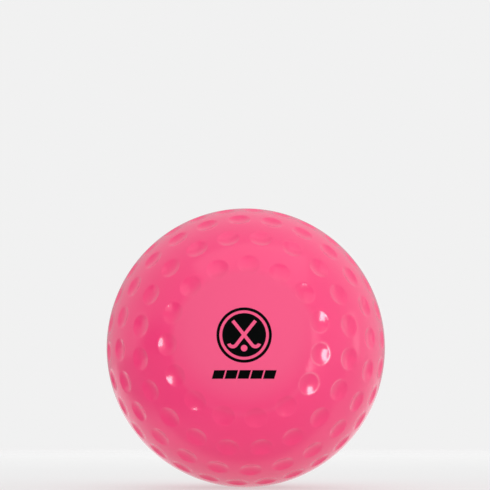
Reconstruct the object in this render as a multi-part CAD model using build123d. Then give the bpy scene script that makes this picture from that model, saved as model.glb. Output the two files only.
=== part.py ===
from build123d import *

import os
from math import asin, cos, degrees, radians, sin, sqrt

# A dimpled outdoor hockey ball: a quilted centre of cork and wound yarn inside a moulded two-part cover, with
# a print on the smooth cap at the front. Millimetres, +Z up. The origin is the ball's centre, and the mould's
# axis runs along Y: the front pole, with the print, faces -Y, and the cover's halves meet on the XZ plane.

# Ball and cover
BALL_RADIUS = 36.5
COVER_WALL = 5.0
PARTING_BEVEL = 0.12  # on each half's outer edge, which leaves a fine line round the equator
TONGUE_RADIUS = 34.0  # the front half's tongue is welded into the rear half's groove
TONGUE_HEIGHT = 2.0

# Dimples: shallow spherical hollows with rounded rims, in rings about each pole
DIMPLE_RADIUS = 2.78  # at the corner that the rounding takes away
DIMPLE_DEPTH = 0.66
RIM_ROUNDING = 1.1
RADIUS_TOLERANCE = 0.01  # within which a circular edge is taken to be a dimple's corner
CUTTER_ABOVE = 0.3  # how far the tool that cuts a dimple stands out of the ball
# Each ring is (angle from the pole, number of dimples, angle of its first dimple from +X towards +Z).
DIMPLE_RINGS = [
    (31.3, 15, 86.5),
    (46.0, 20, 99.0),
    (60.3, 24, 92.6),
    (73.9, 30, 2.6),
]

# Quilted centre: the outer radius of each layer, from the pill outwards
PILL_RADIUS = 14.0
INNER_WINDING_RADIUS = 17.0
INNER_CORK_RADIUS = 20.0
MIDDLE_WINDING_RADIUS = 23.0
OUTER_CORK_RADIUS = 26.0
CENTRE_RADIUS = BALL_RADIUS - COVER_WALL
TONGUE_CORNER = (sqrt(CENTRE_RADIUS**2 - TONGUE_HEIGHT**2), TONGUE_HEIGHT)  # where its tip meets the centre

# Print: a ring, a disc with crossed sticks and a ball left open in it, and a row of slanted dashes below
INK_THICKNESS = 0.04
ROUNDEL_HEIGHT = 1.2  # of the roundel's centre above the pole
RING_RADIUS = 6.7
RING_WIDTH = 0.7
DISC_RADIUS = 5.3
STICK_WIDTH = 0.85
STICK_TOP = (2.75, 3.45)  # end of the handle, from the roundel's centre
STICK_HEEL = (-1.95, -2.45)  # where the shaft meets the hook
HOOK_RADIUS = 1.0
HOOK_TURN = 125
PRINTED_BALL_RADIUS = 0.8
PRINTED_BALL_DROP = 3.2  # below the roundel's centre
DASH_COUNT = 5
DASH_LENGTH = 2.7
DASH_HEIGHT = 2.05
DASH_PITCH = 3.1
DASH_LEAN = 0.6  # of a dash's top over its foot
DASH_CENTRE_HEIGHT = -8.3  # against the pole


def polar(radius, angle):
    """The point at this radius and this angle above the XZ plane, in the half-plane that is turned about Y."""
    return (radius * cos(radians(angle)), radius * sin(radians(angle)))


def turned(profile):
    """The solid of a closed outline in the XY plane, turned about the Y axis."""
    return revolve(make_face(profile), Axis.Y)


def bevelled_rim(side):
    """The outer arc of a half from its pole to its bevel, and the bevel.

    side is -1 for the front half and 1 for the rear one.
    """
    bevel_angle = side * degrees(asin(PARTING_BEVEL / BALL_RADIUS))
    bevel_start = polar(BALL_RADIUS, bevel_angle)
    arc = ThreePointArc((0, side * BALL_RADIUS), polar(BALL_RADIUS, side * 45), bevel_start)
    return [arc, Line(bevel_start, (BALL_RADIUS - PARTING_BEVEL, 0))]


def welded_step():
    """The edge where the halves are welded, from the bevel to the inside: it rises round the tongue."""
    return Polyline(
        (BALL_RADIUS - PARTING_BEVEL, 0),
        (TONGUE_RADIUS, 0),
        (TONGUE_RADIUS, TONGUE_HEIGHT),
        TONGUE_CORNER,
    )


def front_blank():
    """The front half of the cover before its dimples, with the tongue that stands out of its edge."""
    inner_arc = ThreePointArc(TONGUE_CORNER, polar(CENTRE_RADIUS, -45), (0, -CENTRE_RADIUS))
    axis_edge = Line((0, -CENTRE_RADIUS), (0, -BALL_RADIUS))
    return turned([*bevelled_rim(-1), welded_step(), inner_arc, axis_edge])


def rear_blank():
    """The rear half of the cover before its dimples, with the groove that takes the tongue."""
    inner_arc = ThreePointArc(TONGUE_CORNER, polar(CENTRE_RADIUS, 45), (0, CENTRE_RADIUS))
    axis_edge = Line((0, CENTRE_RADIUS), (0, BALL_RADIUS))
    return turned([*bevelled_rim(1), welded_step(), inner_arc, axis_edge])


def dimple_directions():
    """The unit vector from the ball's centre to each dimple of the front half."""
    for ring_angle, count, first in DIMPLE_RINGS:
        for number in range(count):
            turn = radians(first + number * 360 / count)
            off_axis = sin(radians(ring_angle))
            yield Vector(off_axis * cos(turn), -cos(radians(ring_angle)), off_axis * sin(turn))


def dimple_cutters():
    """A short spherical segment standing in the ball's surface at each dimple of the front half."""
    cap_height = BALL_RADIUS - sqrt(BALL_RADIUS**2 - DIMPLE_RADIUS**2)
    hollow = DIMPLE_DEPTH - cap_height
    hollow_radius = (DIMPLE_RADIUS**2 + hollow**2) / (2 * hollow)
    top = DIMPLE_DEPTH + CUTTER_ABOVE
    top_radius = sqrt(hollow_radius**2 - (hollow_radius - top) ** 2)
    middle_angle = asin(top_radius / hollow_radius) / 2
    bowl = ThreePointArc(
        (0, 0),
        (hollow_radius * sin(middle_angle), hollow_radius * (1 - cos(middle_angle))),
        (top_radius, top),
    )
    lid = Polyline((top_radius, top), (0, top), (0, 0))
    cutter = revolve(Plane.XZ * make_face([bowl, lid]), Axis.Z)
    floor_radius = BALL_RADIUS - DIMPLE_DEPTH
    return [Plane(origin=out * floor_radius, z_dir=out) * cutter for out in dimple_directions()]


def dimpled(blank, cutters):
    """The half with its dimples cut and their rims rounded."""
    half = blank - cutters
    rims = [
        edge
        for edge in half.edges().filter_by(GeomType.CIRCLE)
        if abs(edge.radius - DIMPLE_RADIUS) < RADIUS_TOLERANCE
    ]
    return fillet(rims, RIM_ROUNDING)


def layer(inner_radius, outer_radius):
    """A closed spherical layer of the centre."""
    return Sphere(outer_radius) - Sphere(inner_radius)


def cup(inner_radius, outer_radius, direction):
    """The half of a spherical layer that lies on one side of the centre."""
    side = 2 * outer_radius
    keep = Box(side, side, side)
    return layer(inner_radius, outer_radius) & (Pos(direction * outer_radius) * keep)


def stick():
    """One open line of the print, a hockey stick: a straight shaft and a hook, as a flat face."""
    shaft = Line(STICK_TOP, STICK_HEEL)
    hook = JernArc(start=STICK_HEEL, tangent=shaft % 1, radius=HOOK_RADIUS, arc_size=-HOOK_TURN)
    return trace([shaft, hook], line_width=STICK_WIDTH)


def ink(drawing):
    """The drawing laid on the front cap as a thin layer that follows the sphere."""
    prism = extrude(Plane.XZ * drawing, amount=2 * BALL_RADIUS)
    return prism & layer(BALL_RADIUS, BALL_RADIUS + INK_THICKNESS)


def emblem_ring():
    ring = Circle(RING_RADIUS) - Circle(RING_RADIUS - RING_WIDTH)
    return ink(Pos(0, ROUNDEL_HEIGHT) * ring)


def emblem_disc():
    right_stick = stick()
    printed_ball = Pos(0, -PRINTED_BALL_DROP) * Circle(PRINTED_BALL_RADIUS)
    disc = Circle(DISC_RADIUS) - right_stick - mirror(right_stick, Plane.YZ) - printed_ball
    return ink(Pos(0, ROUNDEL_HEIGHT) * disc)


def emblem_dashes():
    half_lean = DASH_LEAN / 2
    half_length = DASH_LENGTH / 2
    half_height = DASH_HEIGHT / 2
    corners = [
        (-half_length - half_lean, -half_height),
        (half_length - half_lean, -half_height),
        (half_length + half_lean, half_height),
        (-half_length + half_lean, half_height),
    ]
    dash = make_face(Polyline(*corners, close=True))
    first = -(DASH_COUNT - 1) / 2 * DASH_PITCH
    places = [Pos(first + number * DASH_PITCH, DASH_CENTRE_HEIGHT) for number in range(DASH_COUNT)]
    return Compound([ink(place * dash) for place in places])


def make_parts():
    """Every piece of the ball by its name."""
    cutters = dimple_cutters()
    half_turn = Rot(0, 0, 180)
    rear, front = Vector(0, 1, 0), Vector(0, -1, 0)
    top, bottom = Vector(0, 0, 1), Vector(0, 0, -1)
    return {
        "centre_pill": Sphere(PILL_RADIUS),
        "inner_winding": layer(PILL_RADIUS, INNER_WINDING_RADIUS),
        "inner_cork_cup_top": cup(INNER_WINDING_RADIUS, INNER_CORK_RADIUS, top),
        "inner_cork_cup_bottom": cup(INNER_WINDING_RADIUS, INNER_CORK_RADIUS, bottom),
        "middle_winding": layer(INNER_CORK_RADIUS, MIDDLE_WINDING_RADIUS),
        "outer_cork_cup_front": cup(MIDDLE_WINDING_RADIUS, OUTER_CORK_RADIUS, front),
        "outer_cork_cup_rear": cup(MIDDLE_WINDING_RADIUS, OUTER_CORK_RADIUS, rear),
        "outer_winding": layer(OUTER_CORK_RADIUS, CENTRE_RADIUS),
        "front_cover": dimpled(front_blank(), cutters),
        "rear_cover": dimpled(rear_blank(), [half_turn * cutter for cutter in cutters]),
        "emblem_ring": emblem_ring(),
        "emblem_disc": emblem_disc(),
        "emblem_dashes": emblem_dashes(),
    }


os.makedirs("parts", exist_ok=True)
for name, part in make_parts().items():
    export_step(part, f"parts/{name}.step")
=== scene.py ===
from math import asin, cos, pi, radians, sin, sqrt

import bpy
import numpy as np
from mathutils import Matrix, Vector


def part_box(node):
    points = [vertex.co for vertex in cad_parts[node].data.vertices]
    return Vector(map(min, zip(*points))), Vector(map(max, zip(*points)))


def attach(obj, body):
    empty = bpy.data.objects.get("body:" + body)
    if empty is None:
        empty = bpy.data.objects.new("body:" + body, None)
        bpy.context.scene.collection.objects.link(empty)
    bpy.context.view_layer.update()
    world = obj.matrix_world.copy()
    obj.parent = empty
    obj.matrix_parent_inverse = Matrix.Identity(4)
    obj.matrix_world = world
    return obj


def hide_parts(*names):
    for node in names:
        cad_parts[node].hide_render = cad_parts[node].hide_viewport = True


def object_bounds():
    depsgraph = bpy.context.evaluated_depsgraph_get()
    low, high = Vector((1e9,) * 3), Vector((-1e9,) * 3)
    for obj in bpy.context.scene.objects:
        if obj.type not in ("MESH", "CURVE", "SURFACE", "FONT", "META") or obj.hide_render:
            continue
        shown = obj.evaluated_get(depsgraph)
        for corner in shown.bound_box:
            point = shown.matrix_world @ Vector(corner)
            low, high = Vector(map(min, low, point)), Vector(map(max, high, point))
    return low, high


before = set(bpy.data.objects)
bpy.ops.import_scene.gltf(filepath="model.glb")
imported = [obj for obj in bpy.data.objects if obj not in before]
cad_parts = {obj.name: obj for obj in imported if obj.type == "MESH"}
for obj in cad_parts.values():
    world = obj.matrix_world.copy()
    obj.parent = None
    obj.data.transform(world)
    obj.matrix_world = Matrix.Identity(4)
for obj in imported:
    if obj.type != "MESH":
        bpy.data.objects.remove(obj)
cad_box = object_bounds()

MM = 0.001

# The ball's shape, as in the CAD model
BALL_RADIUS = (cad_box[1].x - cad_box[0].x) / 2
COVER_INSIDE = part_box("outer_winding")[1].z
FLOOR_HEIGHT = cad_box[0].z
PARTING_BEVEL = 0.12 * MM
TONGUE_RADIUS = 34.0 * MM
TONGUE_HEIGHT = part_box("front_cover")[1].y
DIMPLE_RADIUS = 2.78 * MM
DIMPLE_DEPTH = 0.66 * MM
RIM_ROUNDING = 1.1 * MM
# Each ring is (angle from the pole, number of dimples, angle of its first dimple from +X towards +Z).
DIMPLE_RINGS = [
    (31.3, 15, 86.5),
    (46.0, 20, 99.0),
    (60.3, 24, 92.6),
    (73.9, 30, 2.6),
]

# The quilted centre's layers. Each piece keeps this much clear of its neighbours.
CLEARANCE = 0.02 * MM
PILL_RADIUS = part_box("centre_pill")[1].z
INNER_CORK = (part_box("inner_winding")[1].z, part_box("inner_cork_cup_top")[1].z)
OUTER_CORK = (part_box("middle_winding")[1].z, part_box("outer_cork_cup_front")[1].z)
# Each winding is (node, inside radius, outside radius, thickness of its yarn, turns of yarn, spacing of its
# mesh's points). A strand is narrower than it is thick, as the layer is smaller than the ball.
WINDINGS = [
    ("inner_winding", PILL_RADIUS, INNER_CORK[0], 1.8 * MM, 75, 0.36 * MM),
    ("middle_winding", INNER_CORK[1], OUTER_CORK[0], 2.0 * MM, 95, 0.42 * MM),
    ("outer_winding", OUTER_CORK[1], COVER_INSIDE, 2.2 * MM, 120, 0.50 * MM),
]
YARN_BUILD_UP = 0.8 * MM  # of the last turn over the first
YARN_OFF_CENTRE = 0.3  # the farthest that a turn lies to the side of the centre, in the layer's radius
# Each cup is (node, radii, the direction its pole faces).
CUPS = [
    ("inner_cork_cup_top", INNER_CORK, "+Z"),
    ("inner_cork_cup_bottom", INNER_CORK, "-Z"),
    ("outer_cork_cup_front", OUTER_CORK, "-Y"),
    ("outer_cork_cup_rear", OUTER_CORK, "+Y"),
]
CORK_SPACING = 0.55 * MM
CORK_GRAIN = 2.4 * MM
CORK_RELIEF = 0.22 * MM
GRAIN_SINK = 0.6 * CORK_RELIEF  # the farthest that a grain lies below the highest ones
SEAM_WIDTH = 0.3 * CORK_GRAIN
SEAM_DEPTH = 0.4 * CORK_RELIEF
PILL_RELIEF = 0.5  # of the pill's grains, against the cups'
PILL_SEED = 5  # the cups' seeds are 0 to 3
GRAIN_BLOCKS = 40  # the points are taken in this many groups, which saves memory

# Spacing of the cover mesh's points, which are drawn together at the rim of each dimple
OUTSIDE_SPACING = 0.32 * MM
INSIDE_SPACING = 1.6 * MM
ROW_SPACING = sqrt(3) / 2  # against the spacing of a row's points, for triangles of even sides
FEWEST_POINTS = 6  # on a ring that isn't a pole
EDGE_POINTS = 240  # round the tongue and groove
SHARP_ANGLE = 35  # between two faces, in degrees, from which their edge stays sharp
RIM_WIDTH = 0.25 * MM
RIM_CROWDING = 0.55  # how much of their distance from the rim the nearest points lose
CROWDED_INSIDE = 2.1 * MM  # how far inside and outside the rim points are moved
CROWDED_OUTSIDE = 0.85 * MM


# ---------------------------------------------------------------- meshes


def add_mesh(name, points, faces, material):
    """A smooth-shaded mesh object from arrays of points and triangles."""
    mesh = bpy.data.meshes.new(name)
    mesh.from_pydata(points.tolist(), [], faces.tolist())
    mesh.validate()
    mesh.shade_smooth()
    mesh.set_sharp_from_angle(angle=radians(SHARP_ANGLE))
    mesh.materials.append(material)
    piece = bpy.data.objects.new(name, mesh)
    bpy.context.collection.objects.link(piece)
    return piece


def strip(first, first_count, first_phase, second, second_count, second_phase):
    """Triangles between two closed rings of points.

    first and second are the index of each ring's first point, and the phases are where that point lies, in
    turns. A ring of one point is a pole.
    """
    if first_count == 1:
        j = np.arange(second_count)
        return np.stack([np.full(second_count, first), second + j, second + (j + 1) % second_count], 1)
    if second_count == 1:
        i = np.arange(first_count)
        return np.stack([first + (i + 1) % first_count, first + i, np.full(first_count, second)], 1)
    i = np.arange(first_count)
    j = np.arange(second_count)
    first_middles = first_phase + (i + 0.5) / first_count
    second_middles = second_phase + (j + 0.5) / second_count
    facing = np.searchsorted(second_middles, first_middles)
    behind = np.searchsorted(first_middles, second_middles, side="right")
    on_first = np.stack([first + (i + 1) % first_count, first + i, second + facing % second_count], 1)
    on_second = np.stack([second + j, second + (j + 1) % second_count, first + behind % first_count], 1)
    return np.concatenate([on_first, on_second])


def turned_surface(rings):
    """Points and triangles of a closed surface of revolution about -Y.

    Each ring is (distance from the axis, distance along -Y, number of points). The first and last are poles.
    """
    points, faces, starts = [], [], []
    total = 0
    for index, (radius, along, count) in enumerate(rings):
        phase = (index % 2) * 0.5 / count
        angle = 2 * pi * (phase + np.arange(count) / count)
        points.append(np.stack([radius * np.cos(angle), np.full(count, -along), radius * np.sin(angle)], 1))
        starts.append((total, count, phase))
        total += count
    for here, after in zip(starts, starts[1:]):
        faces.append(strip(*here, *after))
    return np.concatenate(points), np.concatenate(faces)


def points_round(radius, spacing):
    """How many points a ring of this radius has."""
    return max(FEWEST_POINTS, round(2 * pi * radius / spacing))


def outer_rings():
    """The rings of the cover's outside, from the pole to the bevel at the equator."""
    rings = [(0.0, BALL_RADIUS, 1)]
    bevel_angle = 90 - np.degrees(PARTING_BEVEL / BALL_RADIUS)
    rows = round(BALL_RADIUS * radians(bevel_angle) / (OUTSIDE_SPACING * ROW_SPACING))
    for row in range(1, rows + 1):
        angle = radians(bevel_angle * row / rows)
        radius = BALL_RADIUS * sin(angle)
        rings.append((radius, BALL_RADIUS * cos(angle), points_round(radius, OUTSIDE_SPACING)))
    rings.append((BALL_RADIUS - PARTING_BEVEL, 0.0, rings[-1][2]))
    return rings


def inner_rings(start_angle):
    """The rings of the cover's inside, from near the equator to the pole."""
    rows = round(COVER_INSIDE * radians(start_angle) / INSIDE_SPACING)
    rings = []
    for row in range(1, rows):
        angle = radians(start_angle * (1 - row / rows))
        radius = COVER_INSIDE * sin(angle)
        rings.append((radius, COVER_INSIDE * cos(angle), points_round(radius, INSIDE_SPACING)))
    rings.append((0.0, COVER_INSIDE, 1))
    return rings


def dimple_directions():
    """The unit vector from the ball's centre to each dimple of the front half."""
    directions = []
    for ring_angle, count, first in DIMPLE_RINGS:
        for number in range(count):
            turn = radians(first + number * 360 / count)
            off_axis = sin(radians(ring_angle))
            directions.append((off_axis * cos(turn), -cos(radians(ring_angle)), off_axis * sin(turn)))
    return np.array(directions)


def press_dimples(points):
    """The outside's points, pressed in at the dimples, and how near each one is to a rim, from 0 to 1.

    A point in a dimple moves in towards the ball's centre, and points near a rim are drawn together there.
    """
    distance = np.linalg.norm(points, axis=1)
    outward = points / distance[:, None]
    directions = dimple_directions()
    cosines = np.clip(outward @ directions.T, -1, 1)
    axis = directions[cosines.argmax(axis=1)]
    angle = np.arccos(cosines.max(axis=1))
    sideways = outward - axis * np.cos(angle)[:, None]
    sideways /= np.maximum(np.sin(angle), 1e-9)[:, None]
    from_rim = BALL_RADIUS * angle - DIMPLE_RADIUS
    reach = np.where(from_rim > 0, CROWDED_OUTSIDE, CROWDED_INSIDE)
    pull = RIM_CROWDING * np.clip(1 - (from_rim / reach) ** 2, 0, None) ** 2
    along = DIMPLE_RADIUS + from_rim * (1 - pull)
    angle = along / BALL_RADIUS
    outward = axis * np.cos(angle)[:, None] + sideways * np.sin(angle)[:, None]
    hollow = DIMPLE_DEPTH * (1 - (along / DIMPLE_RADIUS) ** 2)
    corner_slope = 2 * DIMPLE_DEPTH / DIMPLE_RADIUS
    blend = corner_slope**2 * RIM_ROUNDING / 2
    near_corner = np.clip(1 - np.abs(hollow) / blend, 0, None)
    depth = np.clip(hollow, 0, None) + near_corner**2 * blend / 4
    return outward * (distance - depth)[:, None], np.exp(-(((along - DIMPLE_RADIUS) / RIM_WIDTH) ** 2))


def welded_step(rise):
    """The rings of the edge where the halves are welded, from the bevel to the inside.

    rise is how far the edge goes past the equator to the tip of the tongue or, below 0, how far it stays
    short of it round the groove.
    """
    tip_radius = sqrt(COVER_INSIDE**2 - rise**2)
    return [
        (TONGUE_RADIUS, 0.0, EDGE_POINTS),
        (TONGUE_RADIUS, -rise, EDGE_POINTS),
        (tip_radius, -rise, EDGE_POINTS),
    ]


def cover_half(name, facing, material):
    """One half of the cover as a closed shell.

    facing is 1 for the front half, with the tongue, and -1 for the rear one, with the groove, which is made
    as a front one and turned half a turn about Z.
    """
    rise = facing * TONGUE_HEIGHT
    inside_angle = 90 + np.degrees(asin(rise / COVER_INSIDE))
    outside = outer_rings()
    points, faces = turned_surface(outside + welded_step(rise) + inner_rings(inside_angle))
    outside_points = sum(count for _, _, count in outside) - outside[-1][2]
    rim = np.zeros(len(points), dtype=np.float32)
    points[:outside_points], rim[:outside_points] = press_dimples(points[:outside_points])
    points[:, :2] *= facing
    shell = add_mesh(name, points, faces, material)
    shell.data.attributes.new("rim", "FLOAT", "POINT").data.foreach_set("value", rim)
    return shell


def arc_rings(radius, start, end, spacing):
    """Rings along an arc from one angle from the pole to another, with one point where it meets the axis."""
    rows = round(radius * radians(abs(end - start)) / (spacing * ROW_SPACING))
    rings = []
    for row in range(rows + 1):
        angle = radians(start + (end - start) * row / rows)
        across = radius * sin(angle)
        on_axis = across < spacing / 10
        rings.append((across, radius * cos(angle), 1 if on_axis else points_round(across, spacing)))
    return rings


def turns_of_yarn(outward, thickness, turns, seed):
    """How high the wound yarn stands at each direction, and where that point is along and across its strand.

    The turns are circles laid one over another, each a little to the side of the ball's centre.
    """
    random = np.random.default_rng(seed)
    height = np.zeros(len(outward))
    strand = np.zeros((len(outward), 2))
    for turn in range(turns):
        axis, start = np.linalg.qr(random.normal(size=(3, 2)))[0].T
        across = outward @ axis - random.uniform(-YARN_OFF_CENTRE, YARN_OFF_CENTRE)
        half_width = thickness / 2 / BALL_RADIUS
        crown = np.sqrt(np.clip(1 - (across / half_width) ** 2, 0, None)) * thickness / 2
        lifted = np.where(crown > 0, YARN_BUILD_UP * turn / turns + crown, 0)
        on_top = lifted > height
        height[on_top] = lifted[on_top]
        turned = np.arctan2(outward @ np.cross(axis, start), outward @ start)
        strand[on_top] = np.stack([turned * BALL_RADIUS, across * BALL_RADIUS], 1)[on_top]
    return height, strand


def winding(node, inside, outside, thickness, turns, spacing, material):
    """A layer of wound yarn: its strands in relief outside, and the plain bed it lies on inside."""
    points, faces = turned_surface(arc_rings(1.0, 0, 180, spacing / outside))
    height, strand = turns_of_yarn(points, thickness, turns, seed=turns)
    top = thickness / 2 + YARN_BUILD_UP
    strands = points * (outside - CLEARANCE - (top - height))[:, None]
    bed, bed_faces = turned_surface(arc_rings(inside + CLEARANCE, 180, 0, INSIDE_SPACING))
    everything = np.concatenate([strands, bed])
    piece = add_mesh(f"{node}_yarn", everything, np.concatenate([faces, bed_faces + len(strands)]), material)
    places = np.concatenate([strand, bed[:, [0, 2]]])
    layer = piece.data.uv_layers.new(name="strand")
    corners = np.zeros(len(piece.data.loops), dtype=np.int32)
    piece.data.loops.foreach_get("vertex_index", corners)
    layer.data.foreach_set("uv", places[corners].ravel())
    return piece


def grains(points, radius, seed):
    """How far the surface of pressed cork lies below its highest grains at each point."""
    random = np.random.default_rng(seed)
    count = round(4 * pi * radius**2 / CORK_GRAIN**2)
    centres = random.normal(size=(count, 3))
    centres *= radius / np.linalg.norm(centres, axis=1)[:, None]
    sunk = random.uniform(0, GRAIN_SINK, count)
    drop = np.zeros(len(points))
    for block in np.array_split(np.arange(len(points)), GRAIN_BLOCKS):
        apart = np.linalg.norm(points[block, None] - centres[None], axis=2)
        order = np.argpartition(apart, 2, axis=1)[:, :2]
        near = np.sort(np.take_along_axis(apart, order, 1), axis=1)
        seam = np.clip(1 - (near[:, 1] - near[:, 0]) / SEAM_WIDTH, 0, 1)
        drop[block] = sunk[apart.argmin(axis=1)] + SEAM_DEPTH * seam**2
    return drop


def cork_cup(node, radii, facing, material, seed):
    """Half of a hollow ball of pressed cork, with a flat rim."""
    inside, outside = radii[0] + CLEARANCE, radii[1] - CLEARANCE
    outer = arc_rings(outside, 0, 90, CORK_SPACING)
    points, faces = turned_surface(outer + arc_rings(inside, 90, 0, INSIDE_SPACING))
    skin = sum(count for _, _, count in outer)
    outward = points[:skin] / outside
    points[:skin] -= outward * grains(points[:skin], outside, seed)[:, None]
    points[:, 1] = np.minimum(points[:, 1], -CLEARANCE)
    x, y, z = points.T
    turned = {"-Y": (x, y, z), "+Y": (-x, -y, z), "+Z": (x, z, -y), "-Z": (x, -z, y)}[facing]
    return add_mesh(f"{node}_cork", np.stack(turned, 1), faces, material)


def pill(material):
    """The solid core of cork grains bound in rubber."""
    radius = PILL_RADIUS - CLEARANCE
    points, faces = turned_surface(arc_rings(radius, 0, 180, CORK_SPACING))
    points *= (1 - PILL_RELIEF * grains(points, radius, PILL_SEED) / radius)[:, None]
    return add_mesh("centre_pill_core", points, faces, material)


# ---------------------------------------------------------------- materials

NOISE_RANGE = (0.3, 0.7)  # where nearly all the values of a noise lie


def new_material(name):
    """A material with nodes, its tree and its Principled shader."""
    material = bpy.data.materials.new(name)
    material.use_nodes = True
    tree = material.node_tree
    return material, tree, tree.nodes["Principled BSDF"]


def add_node(tree, kind, inputs=None, **settings):
    """A new node with its properties and its unlinked inputs set."""
    node = tree.nodes.new(kind)
    for key, value in settings.items():
        setattr(node, key, value)
    for key, value in (inputs or {}).items():
        node.inputs[key].default_value = value
    return node


def noise(tree, coordinates, scale, detail=2.0, roughness=0.5):
    """A noise texture over the piece, in waves per metre."""
    node = add_node(tree, "ShaderNodeTexNoise", {"Scale": scale, "Detail": detail, "Roughness": roughness})
    tree.links.new(coordinates, node.inputs["Vector"])
    return node.outputs["Fac"]


def ramp(tree, value, stops, peak):
    """A grey ColorRamp. Each stop is (place, value), and peak is the value that is white in the ramp."""
    node = add_node(tree, "ShaderNodeValToRGB")
    elements = node.color_ramp.elements
    while len(elements) < len(stops):
        elements.new(0.5)
    for element, (place, grey) in zip(elements, sorted(stops)):
        element.position = place
        element.color = (grey / peak, grey / peak, grey / peak, 1)
    tree.links.new(value, node.inputs["Fac"])
    return node.outputs["Color"]


def map_range(tree, value, low, high, to_low, to_high, smooth=False):
    """The value moved from one range to another."""
    inputs = {"From Min": low, "From Max": high, "To Min": to_low, "To Max": to_high}
    node = add_node(tree, "ShaderNodeMapRange", inputs)
    if smooth:
        node.interpolation_type = "SMOOTHSTEP"
    tree.links.new(value, node.inputs["Value"])
    return node.outputs["Result"]


def maths(tree, operation, first, second=0.0):
    """A Math node on a socket and, where the operation takes two values, a socket or number."""
    node = add_node(tree, "ShaderNodeMath", operation=operation)
    for value, socket in ((first, node.inputs[0]), (second, node.inputs[1])):
        if isinstance(value, (int, float)):
            socket.default_value = value
        else:
            tree.links.new(value, socket)
    return node.outputs["Value"]


def mix_colour(tree, factor, first, second):
    """A colour between two, each a socket or a tuple."""
    node = add_node(tree, "ShaderNodeMix", data_type="RGBA")
    for value, socket in ((first, node.inputs["A"]), (second, node.inputs["B"])):
        if isinstance(value, tuple):
            socket.default_value = (*value, 1)
        else:
            tree.links.new(value, socket)
    tree.links.new(factor, node.inputs["Factor"])
    return node.outputs["Result"]


def bump(tree, height, distance, normal=None):
    """A bump of that many metres."""
    node = add_node(tree, "ShaderNodeBump", {"Strength": 1.0, "Distance": distance})
    tree.links.new(height, node.inputs["Height"])
    if normal:
        tree.links.new(normal, node.inputs["Normal"])
    return node.outputs["Normal"]


PINK = (0.89, 0.042, 0.190)
PINK_DEEP = (0.87, 0.037, 0.174)
# The cap's paler pink is a painted sheen. It stands in for the soft reflection that the matt cap doesn't
# make.
CAP_PINK_WITH_PAINTED_SHEEN = (0.85, 0.104, 0.232)
# Painted highlight: the dimples' rims are painted a paler pink, in patches, most of all on the front right,
# towards the right softbox.
RIM_HIGHLIGHT_PINK = (0.92, 0.34, 0.45)
RIM_HIGHLIGHT = 0.015
LIT_SIDE_RIM_HIGHLIGHT = 0.36
LEAST_RIM_HIGHLIGHT = 0.35  # of a rim's painted highlight, where it is patchy
RIM_HIGHLIGHT_PATCHES = (0.36, 0.56)  # of their noise, from the least painted highlight to the most
LIT_SIDE = (0.51, -0.85, -0.15)
LIT_SIDE_ANGLES = (8.0, 17.0)  # from that side, where the extra painted highlight fades out
FRONT_POLE = (0.0, -1.0, 0.0)
CAP_SHINE = 0.0  # a specular level, as is the next
DIMPLED_SHINE = 0.5
MATT_ANGLES = (26.0, 31.5)  # from the pole, where the matt cap gives way to the gloss
ROUGHNESS = 0.16
ROUGHNESS_SPREAD = 0.03  # up or down, in smears
CAP_ROUGHNESS = 0.265
CAP_ROUGH_ANGLES = (18.0, 26.0)  # from the pole, where the roughness drops, all inside the matt cap
PLASTIC_IOR = 1.50
# Waves per metre of the cover's noises: in its colour, its roughness, the patches of its rims' painted
# highlight and its surface
CLOUDS = 60
SMEARS = 220
PATCHES = 420
WAVES = 110
SKIN = 1400
WAVE_HEIGHT = 0.05 * MM  # of the moulded surface's long waves
SKIN_HEIGHT = 0.0015 * MM  # of its finest grain
PAINTED_SHEEN_CENTRE = (0.0, -0.9925, 0.1219)  # the middle of the cap's painted sheen, a paler colour a little above the pole
PAINTED_SHEEN_ANGLES = (20.0, 46.0)  # from there, where it fades out


def beyond(tree, outward, centre, angles):
    """0 to 1 between two angles, in degrees, from the direction of the centre."""
    dot = add_node(tree, "ShaderNodeVectorMath", {1: Vector(centre).normalized()}, operation="DOT_PRODUCT")
    tree.links.new(outward, dot.inputs[0])
    angle = maths(tree, "ARCCOSINE", dot.outputs["Value"])
    return map_range(tree, angle, *map(radians, angles), 0.0, 1.0, smooth=True)


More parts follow.
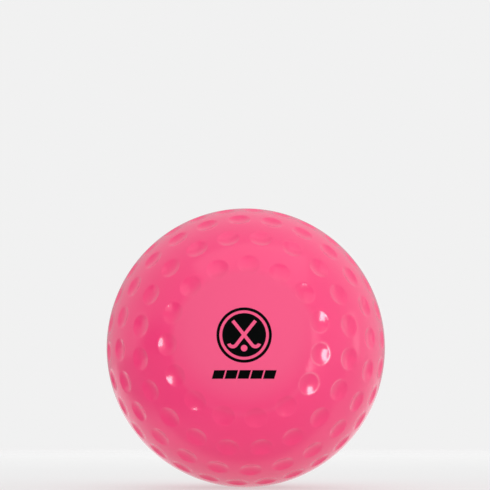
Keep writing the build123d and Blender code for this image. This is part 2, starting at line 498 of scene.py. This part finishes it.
def cover_material():
    """Glossy pink moulded plastic, with a matt cap about the front pole, where the print is. The cap's paler
    pink is a painted sheen, and the paler dimple rims are a painted highlight.
    """
    material, tree, shader = new_material("pink_moulded_cover")
    place = add_node(tree, "ShaderNodeTexCoord").outputs["Object"]
    outward = add_node(tree, "ShaderNodeVectorMath", operation="NORMALIZE")
    tree.links.new(place, outward.inputs[0])
    glossy = beyond(tree, outward.outputs["Vector"], FRONT_POLE, MATT_ANGLES)
    # Painted sheen: the cap turns a paler pink about a point a little above the pole.
    past_painted_sheen = beyond(tree, outward.outputs["Vector"], PAINTED_SHEEN_CENTRE, PAINTED_SHEEN_ANGLES)
    outside_painted_sheen = maths(tree, "MAXIMUM", glossy, past_painted_sheen)
    shine = map_range(tree, glossy, 0.0, 1.0, CAP_SHINE, DIMPLED_SHINE)
    tree.links.new(shine, shader.inputs["Specular IOR Level"])

    cloudy = noise(tree, place, CLOUDS, detail=3)
    moulded = mix_colour(tree, cloudy, PINK, PINK_DEEP)
    # Painted highlight: the rims are mixed towards a paler pink, most of all on the lit side.
    rim = add_node(tree, "ShaderNodeAttribute", attribute_name="rim").outputs["Fac"]
    away_from_lit_side = beyond(tree, outward.outputs["Vector"], LIT_SIDE, LIT_SIDE_ANGLES)
    rim_highlight_strength = map_range(tree, away_from_lit_side, 0.0, 1.0, LIT_SIDE_RIM_HIGHLIGHT, RIM_HIGHLIGHT)
    highlight_patches = map_range(tree, noise(tree, place, PATCHES, detail=3), *RIM_HIGHLIGHT_PATCHES, LEAST_RIM_HIGHLIGHT, 1.0)
    painted_rim_highlight = maths(tree, "MULTIPLY", rim, maths(tree, "MULTIPLY", rim_highlight_strength, highlight_patches))
    coloured = mix_colour(tree, painted_rim_highlight, mix_colour(tree, outside_painted_sheen, CAP_PINK_WITH_PAINTED_SHEEN, moulded), RIM_HIGHLIGHT_PINK)
    tree.links.new(coloured, shader.inputs["Base Color"])

    uneven = noise(tree, place, SMEARS, detail=4)
    smears = map_range(tree, uneven, *NOISE_RANGE, -ROUGHNESS_SPREAD, ROUGHNESS_SPREAD)
    off_cap = beyond(tree, outward.outputs["Vector"], FRONT_POLE, CAP_ROUGH_ANGLES)
    smeared = maths(tree, "MULTIPLY", smears, off_cap)
    even = map_range(tree, off_cap, 0.0, 1.0, CAP_ROUGHNESS, ROUGHNESS)
    tree.links.new(maths(tree, "ADD", even, smeared), shader.inputs["Roughness"])

    wavy = bump(tree, noise(tree, place, WAVES, detail=1), WAVE_HEIGHT)
    skin = bump(tree, noise(tree, place, SKIN, detail=2), SKIN_HEIGHT, wavy)
    tree.links.new(skin, shader.inputs["Normal"])
    shader.inputs["IOR"].default_value = PLASTIC_IOR
    return material


INK_BLACK = (0.0002, 0.0006, 0.0005)
INK_WORN = (0.0008, 0.0014, 0.0012)
INK_ROUGHNESS = (0.5, 0.66)
INK_SHINE = 0.02
INK_PATCHES = 900  # waves per metre, as is the next
INK_GRAIN = 5000
INK_GRAIN_HEIGHT = 0.002 * MM


def ink_material():
    """Black pad-printing ink, nearly without shine and slightly uneven."""
    material, tree, shader = new_material("black_ink")
    place = add_node(tree, "ShaderNodeTexCoord").outputs["Object"]
    patchy = noise(tree, place, INK_PATCHES, detail=4)
    tree.links.new(mix_colour(tree, patchy, INK_BLACK, INK_WORN), shader.inputs["Base Color"])
    tree.links.new(map_range(tree, patchy, *NOISE_RANGE, *INK_ROUGHNESS), shader.inputs["Roughness"])
    grainy = bump(tree, noise(tree, place, INK_GRAIN, detail=2), INK_GRAIN_HEIGHT)
    tree.links.new(grainy, shader.inputs["Normal"])
    shader.inputs["Specular IOR Level"].default_value = INK_SHINE
    return material


YARN_TONES = ((0.66, 0.56, 0.40), (0.78, 0.70, 0.54))
YARN_SHADOW = (0.44, 0.36, 0.24)  # between its plies and fibres
YARN_SHADOW_RANGE = (0.05, 0.5)
YARN_ROUGHNESS = (0.82, 0.98)
YARN_SHEEN = 0.25
PLIES = {"Scale": 420.0, "Distortion": 1.2, "Detail": 2.0}
FIBRES = 2600  # waves per metre, as is the next
YARN_TONE_WAVES = 90
PLY_HEIGHT = 0.08 * MM
FIBRE_HEIGHT = 0.08 * MM


def yarn_material():
    """Undyed wool and cotton yarn: plies that twist along each strand, and loose fibres."""
    material, tree, shader = new_material("undyed_yarn")
    strand = add_node(tree, "ShaderNodeUVMap", uv_map="strand").outputs["UV"]
    place = add_node(tree, "ShaderNodeTexCoord").outputs["Object"]
    plies = add_node(tree, "ShaderNodeTexWave", PLIES, bands_direction="DIAGONAL")
    tree.links.new(strand, plies.inputs["Vector"])
    fibres = noise(tree, place, FIBRES, detail=5, roughness=0.65)
    shade = maths(tree, "MULTIPLY", plies.outputs["Fac"], fibres)
    tone = mix_colour(tree, noise(tree, place, YARN_TONE_WAVES, detail=2), *YARN_TONES)
    shadow = map_range(tree, shade, *YARN_SHADOW_RANGE, 1.0, 0.0)
    tree.links.new(mix_colour(tree, shadow, tone, YARN_SHADOW), shader.inputs["Base Color"])
    tree.links.new(map_range(tree, fibres, *NOISE_RANGE, *YARN_ROUGHNESS), shader.inputs["Roughness"])
    twisted = bump(tree, plies.outputs["Fac"], PLY_HEIGHT)
    tree.links.new(bump(tree, fibres, FIBRE_HEIGHT, twisted), shader.inputs["Normal"])
    shader.inputs["Sheen Weight"].default_value = YARN_SHEEN
    return material


# Each kind of pressed grain is (colour of its light grains, of its dark ones and between them, roughness).
CORK = ((0.58, 0.37, 0.18), (0.20, 0.10, 0.04), (0.19, 0.10, 0.045), 0.85)
CORK_IN_RUBBER = ((0.42, 0.25, 0.12), (0.22, 0.11, 0.05), (0.045, 0.018, 0.012), 0.68)
GRAIN_CELLS = {"Scale": 1 / CORK_GRAIN, "Randomness": 0.9}
PORES = 3.2 / CORK_GRAIN  # waves per metre
GRAIN_SHADES = 0.6  # how much of a grain's shade is its own, and how much comes from its pores
PORE_SHADES = 0.5
GRAIN_EDGE = (0.01, 0.07)  # distance from the edge of a cell, in cells, over which the grain starts
GRAIN_ROUGHNESS_SPREAD = 0.08
GRAIN_HEIGHT = 0.10 * MM
PORE_HEIGHT = 0.15 * MM


def grain_material(name, light, dark, between, roughness):
    """Grains of cork, each of its own shade, pressed together with something else between them."""
    material, tree, shader = new_material(name)
    place = add_node(tree, "ShaderNodeTexCoord").outputs["Object"]
    cells = add_node(tree, "ShaderNodeTexVoronoi", GRAIN_CELLS)
    seams = add_node(tree, "ShaderNodeTexVoronoi", GRAIN_CELLS, feature="DISTANCE_TO_EDGE")
    for node in (cells, seams):
        tree.links.new(place, node.inputs["Vector"])
    each = add_node(tree, "ShaderNodeSeparateColor")
    tree.links.new(cells.outputs["Color"], each.inputs["Color"])
    pores = noise(tree, place, PORES, detail=6, roughness=0.7)
    own_shade = maths(tree, "MULTIPLY", each.outputs["Red"], GRAIN_SHADES)
    shade = maths(tree, "ADD", own_shade, maths(tree, "MULTIPLY", pores, PORE_SHADES))
    in_grain = map_range(tree, seams.outputs["Distance"], *GRAIN_EDGE, 0.0, 1.0, smooth=True)
    colour = mix_colour(tree, shade, dark, light)
    tree.links.new(mix_colour(tree, in_grain, between, colour), shader.inputs["Base Color"])
    roughnesses = (roughness - GRAIN_ROUGHNESS_SPREAD, roughness + GRAIN_ROUGHNESS_SPREAD)
    tree.links.new(map_range(tree, pores, *NOISE_RANGE, *roughnesses), shader.inputs["Roughness"])
    relief = bump(tree, in_grain, GRAIN_HEIGHT)
    tree.links.new(bump(tree, pores, PORE_HEIGHT, relief), shader.inputs["Normal"])
    return material


# ---------------------------------------------------------------- camera, stage and lights

CAMERA_DISTANCE = 12 * BALL_RADIUS
CAMERA_ELEVATION = -2.76
CAMERA_AZIMUTH = 0.63
SENSOR_WIDTH = 36.0
FOCAL_LENGTH = 3.39  # in widths of the picture, as are the next two
BALL_RIGHT = 0.0016  # how far right of the picture's centre the ball's centre is
BALL_BELOW = 0.2084  # and how far below it


def add_camera():
    """The camera in front of the printed pole, aimed above the ball, which so sits low in the frame."""
    azimuth, elevation = radians(CAMERA_AZIMUTH), radians(CAMERA_ELEVATION)
    back = Vector((sin(azimuth) * cos(elevation), -cos(azimuth) * cos(elevation), sin(elevation)))
    data = bpy.data.cameras.new("camera")
    data.sensor_width = SENSOR_WIDTH
    data.lens = SENSOR_WIDTH * FOCAL_LENGTH
    data.clip_start = 0.01
    data.clip_end = 20
    camera = bpy.data.objects.new("camera", data)
    camera.location = CAMERA_DISTANCE * back
    aim = (-back).to_track_quat("-Z", "Y")
    right = aim @ Vector((1, 0, 0))
    up = aim @ Vector((0, 1, 0))
    picture_width = CAMERA_DISTANCE / FOCAL_LENGTH
    target = picture_width * (BALL_BELOW * up - BALL_RIGHT * right)
    camera.rotation_euler = (target - camera.location).to_track_quat("-Z", "Y").to_euler()
    bpy.context.collection.objects.link(camera)
    bpy.context.scene.camera = camera


FLOOR_RADIUS = 1.2
FLOOR_FADE = (0.25, 0.85)  # distance from the ball over which the floor gives way to the backdrop
FLOOR_COLOUR = 0.28
FLOOR_ROUGHNESS = 0.9
FLOOR_SHINE = 0.1
PLAIN_GLOW = 0.505  # of the floor, except in the ball's gloss
# How much the floor glows in the ball's gloss, at each distance behind the point where the ball stands
GLOW_REACH = 100.0 * MM
FLOOR_GLOW = [
    (-100.0 * MM, 0.72),
    (-60.0 * MM, 0.70),
    (-47.0 * MM, 0.62),
    (-35.0 * MM, 0.50),
    (-26.0 * MM, 0.56),
    (-20.5 * MM, 0.50),
    (-17.0 * MM, 0.86),
    (-8.0 * MM, 0.70),
    (0.0 * MM, 0.62),
    (30.0 * MM, 0.66),
    (100.0 * MM, 0.68),
]
# The floor's darker corner in the gloss, at the front left: the sums of X and Y between which it fades out,
# and what it leaves of the glow
DIM_CORNER = (-82.0 * MM, -44.0 * MM)
DIM_CORNER_LEAVES = 0.2
BACKDROP = 0.88


def add_floor():
    """A pale floor that fades into the backdrop. It glows evenly, except in the ball's gloss."""
    material, tree, shader = new_material("pale_floor")
    shader.inputs["Base Color"].default_value = (FLOOR_COLOUR, FLOOR_COLOUR, FLOOR_COLOUR, 1)
    shader.inputs["Roughness"].default_value = FLOOR_ROUGHNESS
    shader.inputs["Specular IOR Level"].default_value = FLOOR_SHINE
    shader.inputs["Emission Strength"].default_value = 1.0
    place = add_node(tree, "ShaderNodeTexCoord").outputs["Object"]
    length = add_node(tree, "ShaderNodeVectorMath", operation="LENGTH")
    tree.links.new(place, length.inputs[0])
    axes = add_node(tree, "ShaderNodeSeparateXYZ")
    tree.links.new(place, axes.inputs["Vector"])
    behind = map_range(tree, axes.outputs["Y"], -GLOW_REACH, GLOW_REACH, 0.0, 1.0)
    stops = [((distance / GLOW_REACH + 1) / 2, glow) for distance, glow in FLOOR_GLOW]
    diagonal = maths(tree, "ADD", axes.outputs["X"], axes.outputs["Y"])
    corner = map_range(tree, diagonal, *DIM_CORNER, DIM_CORNER_LEAVES, 1.0, smooth=True)
    gloss_glow = maths(tree, "MULTIPLY", ramp(tree, behind, stops, 1.0), corner)
    in_gloss = add_node(tree, "ShaderNodeLightPath").outputs["Is Glossy Ray"]
    glow = mix_colour(tree, in_gloss, (PLAIN_GLOW, PLAIN_GLOW, PLAIN_GLOW), gloss_glow)
    tree.links.new(glow, shader.inputs["Emission Color"])
    clear = map_range(tree, length.outputs["Value"], *FLOOR_FADE, 0.0, 1.0, smooth=True)
    mix = add_node(tree, "ShaderNodeMixShader")
    tree.links.new(clear, mix.inputs[0])
    tree.links.new(shader.outputs["BSDF"], mix.inputs[1])
    tree.links.new(add_node(tree, "ShaderNodeBsdfTransparent").outputs["BSDF"], mix.inputs[2])
    tree.links.new(mix.outputs["Shader"], tree.nodes["Material Output"].inputs["Surface"])
    corners = [(-1, -1), (1, -1), (1, 1), (-1, 1)]
    mesh = bpy.data.meshes.new("floor")
    mesh.from_pydata([(FLOOR_RADIUS * x, FLOOR_RADIUS * y, 0) for x, y in corners], [], [(0, 1, 2, 3)])
    mesh.materials.append(material)
    floor = bpy.data.objects.new("floor", mesh)
    floor.location.z = FLOOR_HEIGHT
    bpy.context.collection.objects.link(floor)


# How bright the room is at each angle from the front, in degrees, before its lean to the top and right
ROOM_BRIGHTNESS = [
    (0, 1.10),
    (35, 1.05),
    (55, 1.32),
    (95, 1.36),
    (110, 1.38),
    (124, 1.36),
    (135, 1.15),
    (147, 1.00),
    (155, 0.74),
    (167, 0.72),
    (174, 1.20),
    (180, 1.20),
]
ROOM_PEAK = 1.5  # the brightness that is white in the room's ramp
ROOM_LEAN = (0.16, 0.0, 0.06)  # how much brighter it is on the right and above
ROOM_LIGHT = 0.73
# A dark screen on the left: its direction, the angles over which it fades out, and how much light it leaves
SCREEN = (-0.96, -0.22, -0.17)
SCREEN_ANGLES = (14.0, 34.0)
SCREEN_LEAVES = 0.35


def add_room():
    """Soft light from all round, with a dark screen on the left. The camera sees a plain backdrop instead."""
    world = bpy.data.worlds.new("soft_room")
    world.use_nodes = True
    tree = world.node_tree
    direction = add_node(tree, "ShaderNodeTexCoord").outputs["Generated"]
    axes = add_node(tree, "ShaderNodeSeparateXYZ")
    tree.links.new(direction, axes.inputs["Vector"])
    frontness = map_range(tree, axes.outputs["Y"], 1.0, -1.0, 0.0, 1.0)
    stops = [(0.5 + 0.5 * cos(radians(angle)), value) for angle, value in ROOM_BRIGHTNESS]
    brightness = ramp(tree, frontness, stops, ROOM_PEAK)
    clear = beyond(tree, direction, SCREEN, SCREEN_ANGLES)
    past_screen = map_range(tree, clear, 0.0, 1.0, SCREEN_LEAVES, 1.0)
    lean = add_node(tree, "ShaderNodeVectorMath", {1: ROOM_LEAN}, operation="DOT_PRODUCT")
    tree.links.new(direction, lean.inputs[0])
    leaning = maths(tree, "MULTIPLY", maths(tree, "ADD", lean.outputs["Value"], 1.0), ROOM_PEAK * ROOM_LIGHT)
    strength = maths(tree, "MULTIPLY", leaning, past_screen)
    background = tree.nodes["Background"]
    tree.links.new(brightness, background.inputs["Color"])
    tree.links.new(strength, background.inputs["Strength"])
    backdrop = add_node(tree, "ShaderNodeBackground", {"Color": (BACKDROP, BACKDROP, BACKDROP, 1)})
    seen = add_node(tree, "ShaderNodeMixShader")
    tree.links.new(add_node(tree, "ShaderNodeLightPath").outputs["Is Camera Ray"], seen.inputs[0])
    tree.links.new(background.outputs["Background"], seen.inputs[1])
    tree.links.new(backdrop.outputs["Background"], seen.inputs[2])
    tree.links.new(seen.outputs["Shader"], tree.nodes["World Output"].inputs["Surface"])
    bpy.context.scene.world = world


# Each light is (name, azimuth, elevation, distance, (width, height), radiance, what it lights). Azimuth 0 is
# the printed pole's side and 90 is +X. The gloss lights only show as reflections, the body lights never do.
LIGHTS = [
    ("right_softbox", 40.0, -3, 0.12, (0.030, 0.060), 14.0, "gloss"),
    ("left_softbox", -32.0, -7, 0.12, (0.026, 0.045), 13.0, "gloss"),
    ("overhead_softbox", 12, 62, 0.60, (0.90, 0.60), 0.60, "gloss"),
    ("right_halo", 40.0, -3, 0.125, (0.060, 0.095), 0.4, "gloss"),
    ("left_halo", -32.0, -7, 0.125, (0.065, 0.100), 0.9, "gloss"),
    ("right_strip", 99, 2, 0.50, (0.07, 0.30), 1.0, "gloss"),
    ("left_strip", -95, 2, 0.50, (0.12, 0.30), 0.3, "gloss"),
    ("front_fill", 1, -1, 0.50, (0.40, 0.12), 4.75, "body"),
    ("back_fill", 180, 25, 0.90, (0.60, 0.60), 2.6, "body"),
]


def add_lights():
    """The area lights, each facing the ball and hidden from the camera."""
    for name, azimuth, elevation, distance, (width, height), radiance, lit in LIGHTS:
        data = bpy.data.lights.new(name, "AREA")
        data.shape = "RECTANGLE"
        data.size, data.size_y = width, height
        data.energy = radiance * pi * width * height
        light = bpy.data.objects.new(name, data)
        a, e = radians(azimuth), radians(elevation)
        light.location = distance * Vector((sin(a) * cos(e), -cos(a) * cos(e), sin(e)))
        light.rotation_euler = (-light.location).to_track_quat("-Z", "Y").to_euler()
        light.visible_camera = False
        light.visible_diffuse = lit == "body"
        light.visible_glossy = lit == "gloss"
        bpy.context.collection.objects.link(light)


# ---------------------------------------------------------------- the ball

add_camera()
add_floor()
add_room()
add_lights()

pink = cover_material()
ink = ink_material()

yarn = yarn_material()
cork = grain_material("pressed_cork", *CORK)
rubber = grain_material("cork_in_rubber", *CORK_IN_RUBBER)

pieces = [
    ("front_cover", cover_half("front_cover_shell", 1, pink), "cover"),
    ("rear_cover", cover_half("rear_cover_shell", -1, pink), "cover"),
    ("centre_pill", pill(rubber), "pill"),
]
for node, *layer in WINDINGS:
    pieces.append((node, winding(node, *layer, yarn), "yarn"))
for seed, (node, radii, facing) in enumerate(CUPS):
    pieces.append((node, cork_cup(node, radii, facing, cork, seed), "cork"))

for node, piece, slot in pieces:
    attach(piece, "root")
    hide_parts(node)

for node in ("emblem_ring", "emblem_disc", "emblem_dashes"):
    for material_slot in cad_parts[node].material_slots:
        material_slot.material = ink

bpy.context.scene.view_settings.view_transform = "Standard"
